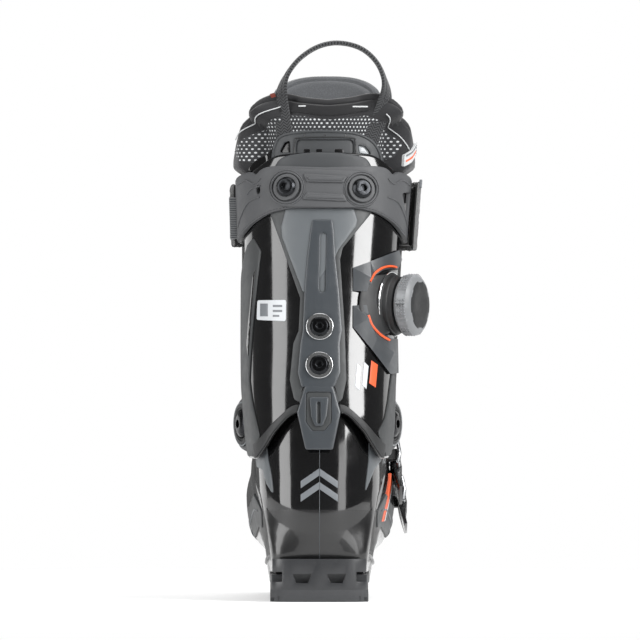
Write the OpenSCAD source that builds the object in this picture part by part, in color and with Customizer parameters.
// Right alpine ski boot: clog, cuff with a dial closure, liner and soles.
// Units mm. +Z is up, +Y towards the toe, +X towards the outer side.
// Origin: centre of the heel's rest face.

/* [Sole] */
// Length from the heel's rear edge to the toe's front edge
sole_length = 305; // [265:1:345]
// Width of the heel and toe lugs
sole_width = 69; // [67:1:71]
// Thickness of the rubber sole
pad_h = 8.4; // [6:0.1:10]
// Height of the ledge on the toe lug
toe_ledge = 19.5; // [18:0.5:20]
// Height of the ledge on the heel lug
heel_ledge = 30; // [29:0.5:31]
// Length of the heel's rest face
heel_length = 76; // [60:1:90]
// Length of the toe's rest face
toe_length = 112; // [90:1:130]

/* [Shell] */
// Thickness of the lower shell's wall
shell_wall = 4.4; // [3:0.1:6]
// Thickness of the cuff's wall
cuff_wall = 4; // [3:0.1:6]
// Height of the cuff's pivots
pivot_z = 124; // [110:1:140]
// Distance of the pivots in front of the origin
pivot_y = 38; // [30:1:50]
// Radius of a pivot bolt's shank
pivot_r = 5; // [3:0.1:8]
// Forward lean of the cuff in degrees
lean = 13; // [8:0.5:18]
// Sideways lean of the cuff in degrees
cant = 1.7; // [0:0.1:3]

/* [Dial] */
// Height of the dial's axis
dial_z = 208; // [180:1:240]
// Angle of the dial's axis towards the rear, in degrees
dial_turn = 23; // [0:1:40]
// Radius of the knob
knob_r = 21.5; // [15:0.5:26]
// Height of the knob
knob_h = 12.5; // [8:0.5:20]
// Radius of the spindle in the knob
spindle_r = 4; // [2:0.1:6]
// Diameter of the lace
lace_d = 2; // [1:0.1:3]

/* [Buckles] */
// Width of a buckle lever
lever_w = 24; // [16:1:32]
// Diameter of a bail's wire
wire_d = 3; // [2:0.1:4]
// Radius of a lever's pin
pin_r = 1.8; // [1:0.1:3]

/* [Liner] */
// Thickness of the liner's padding
liner_t = 7.5; // [5:0.5:12]
// Height of the liner's rim at the rear
liner_top = 351; // [330:1:370]
// Width of the pull loop's webbing
loop_w = 10; // [6:1:20]
// Thickness of the pull loop's webbing
loop_t = 2.6; // [1:0.1:4]
// Height of the pull loop's top
loop_top = 394; // [360:1:420]

/* [Straps] */
// Width of the power strap
strap_w = 42; // [30:1:60]
// Thickness of the power strap's webbing
strap_t = 2.2; // [1:0.1:4]

/* [Hidden] */
heel_y = -38;
foot_k = sole_length / 305;
toe_y = heel_y + sole_length;
toe_pad_y = toe_y - toe_length;
shell_z = toe_ledge - 0.5;
clear = 0.1;

// Foot rings from the toe to the ankle: sole point y z, instep point y z,
// inner and outer half width, share of the three section shapes, floor.
foot_rings = [
    [254, 26, 254, 46, 19, 17, 0.5, 0, 0.5, 19],
    [252, 21, 252, 55, 28, 26, 0.8, 0, 0.2, 19],
    [246, 18, 246, 65, 36, 35, 1, 0, 0, 19],
    [234, 18, 235, 74, 43, 42, 1, 0, 0, 19],
    [216, 18, 218, 82, 48.5, 48, 1, 0, 0, 19],
    [196, 18, 199, 88, 51, 52, 1, 0, 0, 19],
    [176, 18, 180, 94, 51, 53, 1, 0, 0, 19],
    [155, 18, 161, 101, 50, 52, 0.9, 0.1, 0, 19],
    [153, 10, 159.6, 101.8, 50, 52, 0.9, 0.1, 0, 11],
    [130, 10, 143, 110, 48, 50, 0.75, 0.25, 0, 11],
    [104, 10, 129, 121, 46, 48, 0.5, 0.5, 0, 11],
    [78, 10, 118, 132, 44, 46, 0.2, 0.8, 0, 11],
    [50, 10, 109, 143, 43, 45, 0, 1, 0, 11],
    [41, 10, 107.4, 145.6, 43, 44.8, 0, 1, 0, 11],
    [39, 18, 107, 146.3, 43, 44.7, 0, 1, 0, 19],
    [20, 18, 104, 151, 43, 44, 0, 1, 0, 19],
    [-6, 18, 101, 157, 43.5, 44, 0, 1, 0, 19],
    [-22, 19, 99.5, 161, 44, 44.5, 0, 0.8, 0.2, 19],
    [-29, 31, 98, 164, 44.5, 45, 0, 0.35, 0.65, 19],
    [-31, 48, 97, 167, 45, 45, 0, 0, 1, 19],
    [-33, 62.5, 96, 167.8, 45, 44.5, 0, 0, 1, 19],
    [-32.8, 84, 95.5, 170.4, 44.5, 44, 0, 0, 1, 19],
    [-30, 107, 95, 173, 44, 43.5, 0, 0, 1, 19],
    [-26, 128.5, 94.5, 175, 44, 43.5, 0, 0, 1, 19],
    [-23, 143, 94, 176, 43.5, 43, 0, 0, 1, 19],
    [-20.5, 154, 93.5, 177, 43, 42.5, 0, 0, 1, 19]
];
// Half sections from the sole's middle to the instep's middle: share of
// the half width, share of the height.
sec_foot = [[0, 0], [0.3, 0], [0.58, 0], [0.68, 0.1], [0.77, 0.27],
    [0.88, 0.45], [0.97, 0.6], [1, 0.7], [0.965, 0.81], [0.84, 0.91],
    [0.62, 0.97], [0.32, 0.995], [0, 1]];
sec_sole = [[0, 0], [0.4, 0], [0.74, 0], [0.8, 0.05], [0.84, 0.13],
    [0.91, 0.25], [0.97, 0.38], [1, 0.5], [0.985, 0.63], [0.92, 0.76],
    [0.74, 0.88], [0.42, 0.97], [0, 1]];
sec_leg = [[0, 0], [0.34, 0.018], [0.61, 0.065], [0.81, 0.145],
    [0.93, 0.245], [0.985, 0.355], [1, 0.46], [0.975, 0.58], [0.9, 0.71],
    [0.75, 0.83], [0.53, 0.93], [0.27, 0.985], [0, 1]];
sec_n = len(sec_foot) - 1;
ring_n = 2 * sec_n;

// Cuff half sizes by height: inner side, outer side, rear, front
cuff_in = [[95, 49.4], [124, 52.5], [160, 55], [255, 58], [300, 60.5],
    [360, 62]];
cuff_out = [[95, 49], [124, 52.5], [160, 53.5], [255, 56], [300, 58],
    [360, 60]];
cuff_rear = [[95, 62], [132, 66], [165, 65.5], [200, 63.5], [255, 61],
    [316, 60], [360, 59]];
cuff_front = [[95, 78], [165, 74], [200, 67], [255, 62.5], [300, 60],
    [360, 60]];
// Cuff edges by angle from the rear
cuff_low = [[0, 134], [14, 132], [30, 121], [48, 106], [62, 100],
    [80, 100], [96, 102], [108, 110], [120, 126], [134, 145], [150, 158],
    [168, 165], [180, 166], [220, 166]];
cuff_high = [[0, 316], [30, 314], [50, 306], [80, 293], [110, 285],
    [140, 286], [180, 292], [220, 294]];
flap_in = 204;
flap_out = 216;

yoke_low = [[0, 276], [15, 276], [30, 274], [50, 267], [70, 258],
    [92, 252]];
yoke_high = [[0, 305], [30, 306], [50, 303], [70, 300], [92, 296]];
spoiler_high = [[0, 331], [20, 330], [38, 323], [52, 309]];
collar_high = [[0, 351], [20, 353], [42, 356], [60, 345], [90, 320],
    [120, 308], [150, 304]];

// The lace's route on the cuff: angle from the rear, height, stand-off
lace_route = [[86, 219, 5.2], [98, 223, 4.8], [120, 226, 4.2],
    [150, 226, 5], [180, 226, 5.4], [205, 225, 6], [222, 224, 4.6],
    [232, 219, 4], [236, 208, 4], [232, 197, 4], [222, 192, 4.6],
    [205, 191, 6], [180, 190, 5.4], [150, 190, 5], [120, 190, 4.2],
    [98, 193, 4.8], [86, 197, 5.2]];
lace_rings = 78;

// The pull loop's route from one sewn end to the other; its ends lie on
// the liner, inside the spoiler
loop_ends = [[-23, 316], [-25, 332], [37.5, 316]];
loop_route = [[-25.5, 37.5, 352], [-22, 38, 367], [-12, 38, 381],
    [0, 38, 389.5], [14, 38, 392], [28, 38, 388], [39, 38, 378],
    [46.5, 38.5, 362], [46.5, 38, 347], [41.5, 37, 332]];

function mix(a, b, t) = a + (b - a) * t;
function lean_x(z) = max(0, z - 150) * tan(cant);
function axis_y(z) = 30 + (z - 124) * tan(lean);
function cuff_pow(z) = 0.8 + 0.07 * step(110, 190, z);
function step(a, b, v) = let (t = min(1, max(0, (v - a) / (b - a))))
    t * t * (3 - 2 * t);

// A point on the cuff: angle from the rear, height, stand-off
function cuff_pt(a, z, off) =
    let (s = sin(a), c = cos(a),
        w = (s > 0 ? lookup(z, cuff_out) : lookup(z, cuff_in)) + off,
        d = (c > 0 ? lookup(z, cuff_rear) : lookup(z, cuff_front)) + off)
    [lean_x(z) + w * sign(s) * pow(abs(s), cuff_pow(z)),
     axis_y(z) - d * sign(c) * pow(abs(c), cuff_pow(z)), z];

// Extra stand-off that lets the outer flap lie over the inner one
function flap_off(a) = a < 0
    ? -(cuff_wall + 0.8) * step(118, 168, -a)
    : 0.8 * step(130, 175, a);

// One half section point of a ring, with its side: -1 inner, 1 outer
function sec_pt(r, k, side, inset, lift, low) =
    let (p = r[6] * sec_foot[k] + r[7] * sec_sole[k] + r[8] * sec_leg[k],
        dy = r[2] - r[0], dz = r[3] - r[1], n = norm([dy, dz]),
        f = min(0.42, inset / n),
        top = mix(r[1], r[3], 1 - f) - 7,
        h = mix(f, 1 - f, p[1]),
        w = (side < 0 ? r[4] : r[5]) - inset * min(1, n / 90 + 0.25),
        y0 = heel_y + (r[0] - heel_y) * foot_k,
        y1 = heel_y + (r[2] - heel_y) * foot_k,
        toe = inset * step(215, 250, r[0]))
    [side * w * p[0], mix(y0, y1, h) - toe,
     max(min(top, (low > 0 ? low : r[9])
             + lift * (1 - (mix(y0, y1, h) - heel_y) / 400)),
         mix(r[1], r[3], h))];

function foot_ring(r, inset, lift, low) = concat(
    [for (k = [0:sec_n]) sec_pt(r, k, 1, inset, lift, low)],
    [for (k = [sec_n - 1:-1:1]) sec_pt(r, k, -1, inset, lift, low)]);

function foot_grid(inset, lift, low) =
    [for (r = foot_rings) foot_ring(r, inset, lift, low)];

function flat(g) = [for (r = g) for (p = r) p];

// A cup between two grids of rings: closed at the first, open at the last
module cup(outer, inner) {
    m = len(outer);
    c = len(outer[0]);
    n = m * c;
    polyhedron(points = concat(flat(outer), flat(inner)),
        faces = concat(
            [for (i = [0:m - 2]) for (j = [0:c - 1]) for (t = [0, 1])
                let (k = (j + 1) % c) t == 0
                    ? [i * c + j, (i + 1) * c + k, i * c + k]
                    : [i * c + j, (i + 1) * c + j, (i + 1) * c + k]],
            [for (i = [0:m - 2]) for (j = [0:c - 1]) for (t = [0, 1])
                let (k = (j + 1) % c) t == 0
                    ? [n + i * c + j, n + i * c + k, n + (i + 1) * c + k]
                    : [n + i * c + j, n + (i + 1) * c + k,
                       n + (i + 1) * c + j]],
            [for (j = [0:c - 1]) for (t = [0, 1])
                let (k = (j + 1) % c, a = (m - 1) * c) t == 0
                    ? [a + j, n + a + j, n + a + k]
                    : [a + j, n + a + k, a + k]],
            [[for (j = [0:c - 1]) j]],
            [[for (j = [c - 1:-1:0]) n + j]]));
}

// A sheet between two open grids
module sheet(outer, inner) {
    m = len(outer);
    c = len(outer[0]);
    n = m * c;
    edge = concat([for (j = [0:c - 1]) j],
        [for (i = [1:m - 1]) i * c + c - 1],
        [for (j = [c - 2:-1:0]) (m - 1) * c + j],
        [for (i = [m - 2:-1:1]) i * c]);
    e = len(edge);
    polyhedron(points = concat(flat(outer), flat(inner)),
        faces = concat(
            [for (i = [0:m - 2]) for (j = [0:c - 2]) for (t = [0, 1])
                let (a = i * c + j) t == 0
                    ? [a, a + 1, a + c + 1] : [a, a + c + 1, a + c]],
            [for (i = [0:m - 2]) for (j = [0:c - 2]) for (t = [0, 1])
                let (a = n + i * c + j) t == 0
                    ? [a, a + c + 1, a + 1] : [a, a + c, a + c + 1]],
            [for (i = [0:e - 1]) for (t = [0, 1])
                let (a = edge[i], b = edge[(i + 1) % e]) t == 0
                    ? [a, n + a, n + b] : [a, n + b, b]]));
}

// A sheet that lies on the cuff between two stand-offs
module on_cuff(angles, low, high, rows, off0, off1, side = 0) {
    function edge_z(t, a) = lookup(abs(a), t);
    function g(off) = [for (a = angles) [for (j = [0:rows])
        cuff_pt(a, mix(edge_z(low, a), edge_z(high, a), j / rows),
            off + side * flap_off(a))]];
    sheet(g(off1), g(off0));
}

function steps(a, b, n) = [for (i = [0:n]) mix(a, b, i / n)];

// Catmull-Rom point on a route at 0 to 1
function route_pt(r, t) =
    let (n = len(r) - 1, u = min(n - 0.0001, t * n), i = floor(u),
        f = u - i, p0 = r[max(0, i - 1)], p1 = r[i],
        p2 = r[min(n, i + 1)], p3 = r[min(n, i + 2)])
    0.5 * (2 * p1 + (p2 - p0) * f
        + (2 * p0 - 5 * p1 + 4 * p2 - p3) * f * f
        + (3 * p1 - p0 - 3 * p2 + p3) * f * f * f);
function unit(v) = v / norm(v);

// A tube of half sizes a and b along points; up sets its flat side
module sweep(pts, a, b, sides, up, ring = false, ups = []) {
    n = len(pts);
    function tan_at(i) = unit(ring
        ? pts[(i + 1) % n] - pts[(i + n - 1) % n]
        : pts[min(n - 1, i + 1)] - pts[max(0, i - 1)]);
    function loop(i) = let (t = tan_at(i),
        u = unit(cross(t, len(ups) > 0 ? ups[i] : up)), v = cross(t, u))
        [for (k = [0:sides - 1]) let (q = (k + 0.5) * 360 / sides)
            pts[i] + u * a * cos(q) + v * b * sin(q)];
    g = [for (i = [0:n - 1]) loop(i)];
    last = ring ? n - 1 : n - 2;
    polyhedron(points = flat(g), faces = concat(
        [for (i = [0:last]) for (k = [0:sides - 1]) for (t = [0, 1])
            let (l = (k + 1) % sides, w = ((i + 1) % n) * sides) t == 0
                ? [i * sides + k, w + l, i * sides + l]
                : [i * sides + k, w + k, w + l]],
        ring ? [] : [[for (k = [0:sides - 1]) k],
            [for (k = [sides - 1:-1:0]) (n - 1) * sides + k]]));
}

// Outline of a heel or toe plate
function plate_outline(y0, y1, w, rear, front) = concat(
    [for (q = [0:10:180]) [w / 2 * sign(cos(q)) * pow(abs(cos(q)), 0.5),
        y1 - front + front * pow(abs(sin(q)), 0.9)]],
    [for (q = [180:10:360]) [w / 2 * sign(cos(q)) * pow(abs(cos(q)), 0.5),
        y0 + rear - rear * pow(abs(sin(q)), 0.9)]]);

module heel_shape() polygon(plate_outline(heel_y, heel_y + heel_length,
    sole_width, 14, 5));
module toe_shape() polygon(plate_outline(toe_pad_y, toe_y, sole_width,
    5, 46));

heel_screws = [for (x = [-22, 22]) for (y = [-16, 24]) [x, y]];
toe_screws = [for (x = [-22, 22]) for (y = [168, 222])
    [x, heel_y + (y - heel_y) * foot_k]];

module screw_holes(list, r0, r1, z1) for (p = list)
    translate([p[0], p[1], 0]) {
        translate([0, 0, -1]) cylinder(r = r0, h = z1 + 1, $fn = 24);
        cylinder(r = r1, h = 40, $fn = 24);
    }

module heel_pad() color([0.24, 0.24, 0.25]) difference() {
    linear_extrude(pad_h) heel_shape();
    for (i = [0:5]) translate([-40, -32 + i * 12, -1]) cube([80, 4, 4]);
    for (s = [-1, 1]) {
        translate([s * 11 - 1.5, -28, -1]) cube([3, 56, 4]);
        for (x = [28.6, 32.4]) translate([s * x - 0.7, heel_y - 1, -1])
            cube([1.4, 5, 5]);
    }
    screw_holes(heel_screws, 4.6, 2.2, 5);
}

module toe_pad() color([0.24, 0.24, 0.25]) difference() {
    linear_extrude(pad_h) toe_shape();
    for (i = [0:6])
        translate([-40, toe_pad_y + 10 + i * 14, -1]) cube([80, 4, 4]);
    translate([-1.5, toe_pad_y + 8, -1]) cube([3, 84, 4]);
    screw_holes(toe_screws, 4.6, 2.2, 5);
}

module heel_block() color([0.2, 0.2, 0.21]) difference() {
    translate([0, 0, pad_h]) {
        linear_extrude(shell_z - pad_h) heel_shape();
        intersection() {
            linear_extrude(heel_ledge - pad_h) heel_shape();
            translate([-40, heel_y - 1, 0]) cube([80, 9, 40]);
        }
    }
    for (s = [-1, 1]) {
        translate([s * 12, heel_y + 6, 16.3]) rotate([90, 0, 0])
            linear_extrude(8) polygon([[-6.7, 3.3], [6.7, 3.3],
                [4.3, -3.2], [-4.3, -3.2]]);
        translate([s * 32 - 6, heel_y - 1, 14]) cube([12, 9, 7]);
    }
    screw_holes(heel_screws, 2.2, 2.2, 5);
}

module toe_block() color([0.2, 0.2, 0.21]) difference() {
    translate([0, 0, pad_h]) {
        linear_extrude(shell_z - pad_h) toe_shape();
        intersection() {
            linear_extrude(toe_ledge - pad_h) toe_shape();
            translate([-40, toe_y - 10.5, 0]) cube([80, 12, 40]);
        }
    }
    screw_holes(toe_screws, 2.2, 2.2, 5);
}

module sole_screws() color([0.5, 0.5, 0.52])
    for (p = concat(heel_screws, toe_screws))
        translate([p[0], p[1], 2.4]) difference() {
            union() {
                cylinder(r = 4.2, h = 2.4, $fn = 24);
                cylinder(r = 2, h = shell_z - 2.6, $fn = 24);
            }
            translate([0, 0, -1]) cylinder(r = 1.8, h = 2.4, $fn = 6);
        }

module pivot_cut(r) translate([-80, pivot_y, pivot_z])
    rotate([0, 90, 0]) cylinder(r = r, h = 160, $fn = 48);

module lower_shell() color([0.08, 0.08, 0.09]) difference() {
    cup(foot_grid(0, 0, 0), foot_grid(shell_wall, 0, shell_z + shell_wall));
    pivot_cut(pivot_r + clear);
}

board_z = shell_z + shell_wall + 0.3;
liner_z = 27;
liner_lift = 10;
function liner_floor(y) = liner_z + liner_lift * (1 - (y - heel_y) / 400);

module bootboard() color([0.75, 0.75, 0.72]) {
    rows = [for (i = [2:17]) let (r = foot_rings[i],
            k = r[6] * 0.58 + (1 - r[6]) * 0.72,
            d = i == 17 ? 13 : 5) [
        heel_y + (r[0] - heel_y) * foot_k
            + (i == 2 ? -5 : i == 17 ? 6 : 0),
        r[4] * k - d, r[5] * k - d]];
    sheet([for (r = rows) [
            [-r[1], r[0], liner_floor(r[0]) - 0.3],
            [r[2], r[0], liner_floor(r[0]) - 0.3]]],
        [for (r = rows) [[-r[1], r[0], board_z], [r[2], r[0], board_z]]]);
}

module footbed() color([0.55, 0.3, 0.15]) {
    rows = [for (i = [4:16]) let (r = foot_rings[i],
            k = r[6] * 0.62 + (1 - r[6]) * 0.74) [
        heel_y + (r[0] - heel_y) * foot_k, r[4] * k - 12, r[5] * k - 12]];
    sheet([for (r = rows) let (z = liner_floor(r[0]) + liner_t + 3)
            [[-r[1], r[0], z], [r[2], r[0], z]]],
        [for (r = rows) let (z = liner_floor(r[0]) + liner_t + 0.3)
            [[-r[1], r[0], z], [r[2], r[0], z]]]);
}

module liner_boot() color([0.2, 0.2, 0.22])
    cup(foot_grid(shell_wall + 1, liner_lift, liner_z),
        foot_grid(shell_wall + 1 + liner_t, liner_lift,
            liner_z + liner_t));

// The liner's upper part: inside the cuff, wider over its side edges
function collar_off(a, z) = -(cuff_wall + 3.6)
    + 7 * step(60, 84, abs(a)) * step(302, 318, z)
    - 3.2 * (1 - step(50, 60, abs(a))) * step(280, 300, z);
module liner_cuff() {
    rows = 14;
    angs = steps(-146, 146, 30);
    function low(a) = 160 + 34 * step(20, 150, abs(a));
    function g(d) = [for (a = angs) [for (j = [0:rows])
        let (z = mix(low(a), lookup(abs(a), collar_high), j / rows))
        cuff_pt(a, z, collar_off(a, z) - d)]];
    color([0.2, 0.2, 0.22]) sheet(g(0), g(liner_t));
}

module liner_tongue() {
    rows = 12;
    angs = steps(138, 222, 10);
    function g(d) = [for (a = angs) [for (j = [0:rows])
        let (z = mix(196, 364 - 14 * pow(abs(a - 180) / 42, 2),
            j / rows))
        cuff_pt(a, z, -(cuff_wall + 1.6 + liner_t + 7) - d)]];
    color([0.16, 0.16, 0.17]) sheet(g(0), g(9));
}

module liner_tag() {
    function g(d) = [for (a = steps(62, 76, 4)) [for (j = [0:4])
        let (z = 306 + 4 * j) cuff_pt(a, z, collar_off(a, z) + d)]];
    color([0.85, 0.85, 0.85]) sheet(g(0.9), g(0.3));
}

module pull_loop() color([0.15, 0.15, 0.15])
    sweep([for (i = [0:36]) route_pt(concat(
            [rear_pt(loop_ends[0][0], loop_ends[0][1], -9),
             rear_pt(loop_ends[1][0], loop_ends[1][1], -9)], loop_route,
            [rear_pt(loop_ends[2][0], loop_ends[2][1], -9)]), i / 36)],
        loop_w / 2 * 1.08, loop_t / 2 * 1.08, 8, [0, 0, 1],
        ups = [for (i = [0:36]) let (t = i / 36)
            mix([0.4 * sign(t - 0.5), -1, 0.2], [3 * (t - 0.5), 0, 0.8],
                step(0.08, 0.34, t) - step(0.66, 0.92, t))]);

dial_at = [49, 19.2, dial_z];
module at_dial() translate(dial_at) rotate([0, 0, -dial_turn])
    rotate([0, 90, 0]) children();

module cuff() color([0.1, 0.1, 0.11]) difference() {
    angs = concat(steps(-flap_in, -120, 8), steps(-112, 112, 32),
        steps(120, flap_out, 9));
    on_cuff(angs, cuff_low, cuff_high, 13, -cuff_wall, 0, 1);
    pivot_cut(pivot_r + 2.6);
    at_dial() translate([0, 0, 0.3]) cylinder(r = 20.8, h = 12, $fn = 72);
}

module spine_panel() color([0.3, 0.31, 0.33])
    on_cuff(steps(-13, 13, 8), [[0, 156]], [[0, 268]], 14, 0.1, 2);

module spine_plate() {
    h = [[106, 8.8], [134, 15.5], [152, 8.8]];
    rows = [106, 112, 120, 127, 134, 140, 146, 152];
    function g(off) = [for (u = steps(-1, 1, 6)) [for (z = rows)
        rear_pt(u * lookup(z, h), z, off)]];
    color([0.22, 0.23, 0.24]) sheet(g(2.6), g(0.2));
}

function rear_pt(x, z, off) = let (w = lookup(z, x > lean_x(z)
        ? cuff_out : cuff_in) + off,
    s = pow(abs(x - lean_x(z)) / w, 1 / cuff_pow(z)))
    cuff_pt(sign(x - lean_x(z)) * asin(s), z, off);
rear_tilt = 14.3;
module on_rear(x, z, off, yaw = 0) translate(rear_pt(x, z, off))
    rotate([0, 0, yaw]) rotate([90 - rear_tilt, 0, 0]) children();

spine_at = [[0.3, 192.6, 0], [0, 165.6, 0]];
yoke_at = [[-23, 290.8, -20], [29.7, 289.6, 20]];

module washers(list, off) for (p = list) on_rear(p[0], p[1], off, p[2])
    difference() {
        cylinder(r = 9.6, h = 1.4, $fn = 48);
        translate([0, 0, -1]) cylinder(r = 4, h = 4, $fn = 48);
    }
module screws(list, off) for (p = list) on_rear(p[0], p[1], off, p[2])
    difference() {
        union() {
            rotate_extrude($fn = 48) polygon([[0, 1.5], [7.2, 1.5],
                [7.2, 2.2], [5.4, 4.2], [0, 4.2]]);
            cylinder(r = 3.9, h = 2, $fn = 48);
        }
        translate([0, 0, 2.2]) cylinder(r = 2.6, h = 4, $fn = 6);
    }

module spine_washers() color([0.75, 0.75, 0.76]) washers(spine_at, 2.6);
module spine_screws() color([0.12, 0.12, 0.12]) screws(spine_at, 2.6);
module yoke_washers() color([0.6, 0.6, 0.62]) washers(yoke_at, 6.2);
module yoke_screws() color([0.12, 0.12, 0.12]) screws(yoke_at, 6.2);

module spoiler() color([0.33, 0.34, 0.35])
    on_cuff(steps(-52, 52, 18), [[0, 297]], spoiler_high, 5,
        -cuff_wall - 3.2, -cuff_wall - 0.3);

module strap_yoke() color([0.38, 0.38, 0.39])
    on_cuff(steps(-92, 92, 30), yoke_low, yoke_high, 5, 0.5, 4.4);

module strap_inner() color([0.6, 0.6, 0.6])
    on_cuff(steps(-225, -94, 19), [[0, 252]], [[0, 252 + strap_w]], 2,
        1.4, 1.4 + strap_t);

module strap_outer() color([0.08, 0.08, 0.08])
    on_cuff(steps(84, 214, 18), [[0, 250]], [[0, 250 + strap_w]], 2,
        4.7, 5 + strap_t);

module pivot_bolts() color([0.25, 0.25, 0.26]) for (s = [0, 1])
    mirror([s, 0, 0]) translate([0, pivot_y, pivot_z])
        rotate([0, 90, 0]) difference() {
            union() {
                translate([0, 0, 38.9]) cylinder(r = pivot_r,
                    h = 17.5, $fn = 48);
                translate([0, 0, 56]) rotate_extrude($fn = 48)
                    polygon([[0, 0], [9.4, 0], [9.4, 1], [6.5, 3.4],
                        [0, 4]]);
            }
            translate([0, 0, 58]) cylinder(r = 2.6, h = 4, $fn = 6);
        }

module canting_rings() color([0.45, 0.46, 0.47]) for (s = [0, 1])
    mirror([s, 0, 0]) translate([0, pivot_y, pivot_z])
        rotate([0, 90, 0]) translate([0, 0, 54.3]) difference() {
            cylinder(r = 14.5, h = 1.5, $fn = 64);
            translate([0, 0, -1]) cylinder(r = pivot_r + clear, h = 5,
                $fn = 48);
        }

module dial_bracket() color([0.36, 0.37, 0.38]) difference() {
    on_cuff(steps(19.5, 88, 15),
        [[19.5, 192.3], [28, 184.5], [37.4, 176], [50, 167], [60, 162],
            [67, 158], [76, 157], [88, 168]],
        [[19.5, 234.3], [37, 239.5], [50, 243], [66, 246.5], [76, 247],
            [88, 240]],
        10, 0.3, 3.4);
    at_dial() translate([0, 0, -20]) cylinder(r = 25, h = 60, $fn = 72);
    translate([18, -60, 208.4]) cube([15, 50, 8.8]);
}

module arc(r0, r1, h, a0, a1) rotate([0, 0, a0])
    rotate_extrude(angle = a1 - a0, $fn = 72)
        translate([r0, 0]) square([r1 - r0, h]);

module dial_arcs() color([0.88, 0.36, 0.22]) at_dial()
    translate([0, 0, 4.4]) {
        arc(22.4, 24.6, 2.4, 140, 230);
        arc(22.4, 24.6, 2.4, -50, 40);
    }

module dial_housing() color([0.13, 0.13, 0.14]) at_dial() difference() {
    rotate_extrude($fn = 72) polygon([[0, 0.4], [20.5, 0.4], [20.5, 2.4],
        [18.8, 6], [15, 6], [15, 10.6], [0, 10.6]]);
    translate([0, 0, 2.4]) cylinder(r = 12.4, h = 6, $fn = 48);
    translate([0, 0, 4]) cylinder(r = spindle_r + clear, h = 12,
        $fn = 48);
}

module dial_ring() color([0.85, 0.85, 0.86]) at_dial()
    translate([0, 0, 6.1]) difference() {
        cylinder(r = 18.4, h = 1.6, $fn = 72);
        translate([0, 0, -1]) cylinder(r = 15.2, h = 4, $fn = 72);
    }

module dial_spool() color([0.7, 0.7, 0.7]) at_dial() {
    translate([0, 0, 2.7]) cylinder(r = 12, h = 1, $fn = 48);
    translate([0, 0, 3.7]) cylinder(r = 8.5, h = 3.4, $fn = 48);
    translate([0, 0, 7.1]) cylinder(r = 12, h = 1, $fn = 48);
    translate([0, 0, 8.1]) cylinder(r = spindle_r, h = 11, $fn = 48);
}

module dial_knob() color([0.56, 0.57, 0.58]) at_dial()
    translate([0, 0, 11.4]) difference() {
        rotate_extrude($fn = 72) polygon([[0, 0], [knob_r - 3, 0],
            [knob_r, 3], [knob_r, knob_h - 3], [knob_r - 2, knob_h - 1],
            [knob_r - 4, knob_h], [0, knob_h]]);
        translate([0, 0, -1]) cylinder(r = spindle_r + clear, h = 9.4,
            $fn = 48);
        translate([0, 0, knob_h - 3]) cylinder(r = knob_r - 6, h = 5,
            $fn = 72);
        for (q = [0:15:345]) rotate([0, 0, q]) translate([knob_r, 0, 2])
            cylinder(r = 0.9, h = knob_h - 5, $fn = 16);
    }

module knob_face() color([0.22, 0.22, 0.23]) at_dial()
    translate([0, 0, 11.4 + knob_h - 3]) difference() {
        cylinder(r = knob_r - 6.2, h = 2.6, $fn = 72);
        for (q = [0:120:240]) rotate([0, 0, q])
            translate([5, -1.4, 1.6]) cube([12, 2.8, 3]);
    }

module lace() color([0.5, 0.5, 0.52])
    sweep([for (i = [0:lace_rings - 1])
        let (p = route_pt(lace_route, i / (lace_rings - 1)))
        cuff_pt(p[0], p[1], p[2])],
        lace_d / 2, lace_d / 2, 8, [0, 0.2, 1]);

module lace_guide() color([0.2, 0.2, 0.21]) {
    on_cuff(steps(221, 241, 4), [[0, 186]], [[0, 230]], 4, 0.9, 2.7);
    on_cuff(steps(221, 229, 2), [[0, 199]], [[0, 217]], 2, 2.4, 6.4);
}

module lace_tunnel() color([0.2, 0.2, 0.21])
    for (z = [184, 218])
        on_cuff(steps(186, 196, 2), [[0, z]], [[0, z + 14]], 2,
            0.9 + 0.2, 3.6);

// Buckles: place of the middle of the instep and its slope
instep_at = [0, 140, 111.6];
instep_tilt = 34;
toe_at = [0, 197, 88.6];
toe_tilt = 18;
module at_instep() translate([0, heel_y + (instep_at[1] - heel_y)
    * foot_k, instep_at[2]]) rotate([-instep_tilt, 0, 0]) children();
module at_toe() translate([0, heel_y + (toe_at[1] - heel_y) * foot_k,
    toe_at[2]]) rotate([-toe_tilt, 0, 0]) children();

// Each buckle works in a plane across the foot: pin, bail pin, tail
module lever(hx, hz) difference() {
    union() {
        translate([hx, 0, hz]) rotate([90, 0, 0])
            translate([0, 0, -lever_w / 2])
                linear_extrude(lever_w) polygon([[-2.5, 0.8],
                    [-1.4, 2.3], [0.8, 2.6], [2.6, 1.4], [5, -3],
                    [6, -9], [4.9, -18], [6.2, -25], [4.2, -25.5],
                    [1.9, -18], [0.4, -12], [-1.2, -2.6], [-2.5, -1]]);
    }
    translate([hx, 30, hz]) rotate([90, 0, 0])
        cylinder(r = pin_r + clear, h = 60, $fn = 32);
    translate([hx + 3.3, 30, hz - 9]) rotate([90, 0, 0])
        cylinder(r = wire_d / 2 + clear, h = 60, $fn = 32);
}

module buckle_base(hx, hz) {
    for (s = [-1, 1]) translate([hx, s * (lever_w / 2 + 2.3), hz])
        rotate([90, 0, 0]) translate([0, 0, -1.6])
            linear_extrude(3.2) polygon([[-4, 4], [3, 4], [4, 0],
                [2, -5], [-4, -5]]);
    translate([hx, -lever_w / 2 - 3.9, hz]) rotate([-90, 0, 0])
        cylinder(r = pin_r, h = lever_w + 7.8, $fn = 32);
    translate([hx - 4.1, -lever_w / 2 - 3.9, hz - 4.6])
        cube([1, lever_w + 7.8, 8.6]);
}

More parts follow.
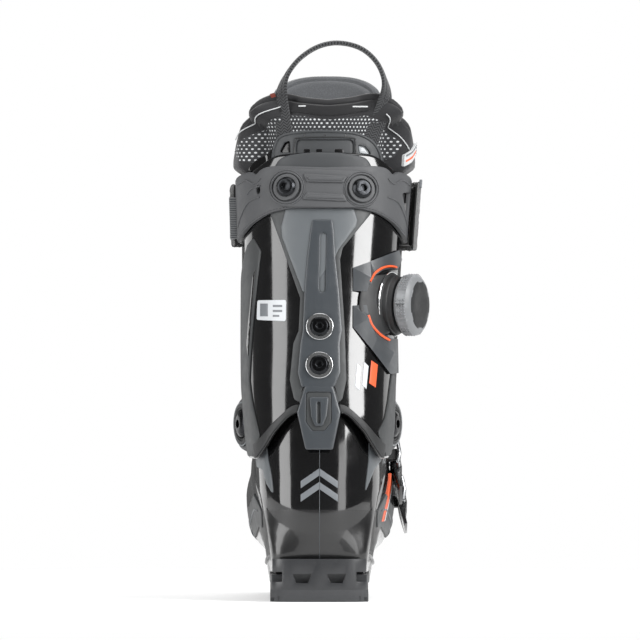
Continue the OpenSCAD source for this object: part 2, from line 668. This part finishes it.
// Closed loop of wire over the instep
module bail(path) {
    w = lever_w / 2 + 6.5;
    side = [for (i = [0:12]) route_pt(path, i / 12)];
    near = [for (p = side) [p[0], w, p[1]]];
    far = [for (i = [12:-1:0]) [side[i][0], -w, side[i][1]]];
    e = side[12];
    s = side[0];
    sweep(concat(near, [[e[0] - 1.5, w - 3, e[1]],
            [e[0] - 2, w - 8, e[1]], [e[0] - 2, 0, e[1]],
            [e[0] - 2, 8 - w, e[1]], [e[0] - 1.5, 3 - w, e[1]]], far),
        wire_d / 2, wire_d / 2, 8, [0.05, 0.9, 0.35]);
    for (t = [-1, 1]) translate([s[0], t * w, s[1]])
        rotate([t * 90, 0, 0]) translate([0, 0, -1])
            cylinder(r = wire_d / 2, h = lever_w / 2 + 1, $fn = 32);
}

instep_pin = [53, -22];
toe_pin = [57.1, -18];
instep_path = [[56.3, -31], [57, -18], [51.5, -5], [42, 3], [28, 9],
    [14, 11.4], [2, 11], [-5.5, 8.6], [-10, 5.4]];
toe_path = [[60.4, -27], [60.8, -15], [54.5, -3], [43, 4], [29, 9],
    [14, 11.4], [2, 11], [-5.5, 8.6], [-10, 5.4]];

module ladder() translate([0, 0, 3.4]) rotate([0, -9, 0]) {
    translate([-34, -9, 0]) cube([34, 18, 2]);
    for (i = [0:3]) translate([-9 - i * 8, -8, 1]) cube([1.8, 16, 3]);
}

module instep_base() color([0.15, 0.15, 0.16]) at_instep()
    buckle_base(instep_pin[0], instep_pin[1]);
module instep_lever() color([0.1, 0.1, 0.1]) at_instep()
    lever(instep_pin[0], instep_pin[1]);
module instep_bail() color([0.7, 0.7, 0.72]) at_instep()
    bail(instep_path);
module instep_ladder() color([0.5, 0.5, 0.52]) at_instep() ladder();
module toe_base() color([0.15, 0.15, 0.16]) at_toe()
    buckle_base(toe_pin[0], toe_pin[1]);
module toe_lever() color([0.1, 0.1, 0.1]) at_toe()
    lever(toe_pin[0], toe_pin[1]);
module toe_bail() color([0.7, 0.7, 0.72]) at_toe()
    bail(toe_path);
module toe_ladder() color([0.5, 0.5, 0.52]) at_toe() ladder();

lower_shell();
heel_block();
toe_block();
heel_pad();
toe_pad();
sole_screws();
bootboard();
footbed();
liner_boot();
pivot_bolts();
instep_base();
instep_lever();
instep_bail();
instep_ladder();
toe_base();
toe_lever();
toe_bail();
toe_ladder();
cuff();
canting_rings();
spine_panel();
spine_plate();
spine_washers();
spine_screws();
spoiler();
strap_yoke();
yoke_washers();
yoke_screws();
strap_inner();
strap_outer();
liner_cuff();
liner_tongue();
liner_tag();
pull_loop();
dial_bracket();
dial_arcs();
dial_housing();
dial_ring();
dial_spool();
dial_knob();
knob_face();
lace();
lace_guide();
lace_tunnel();
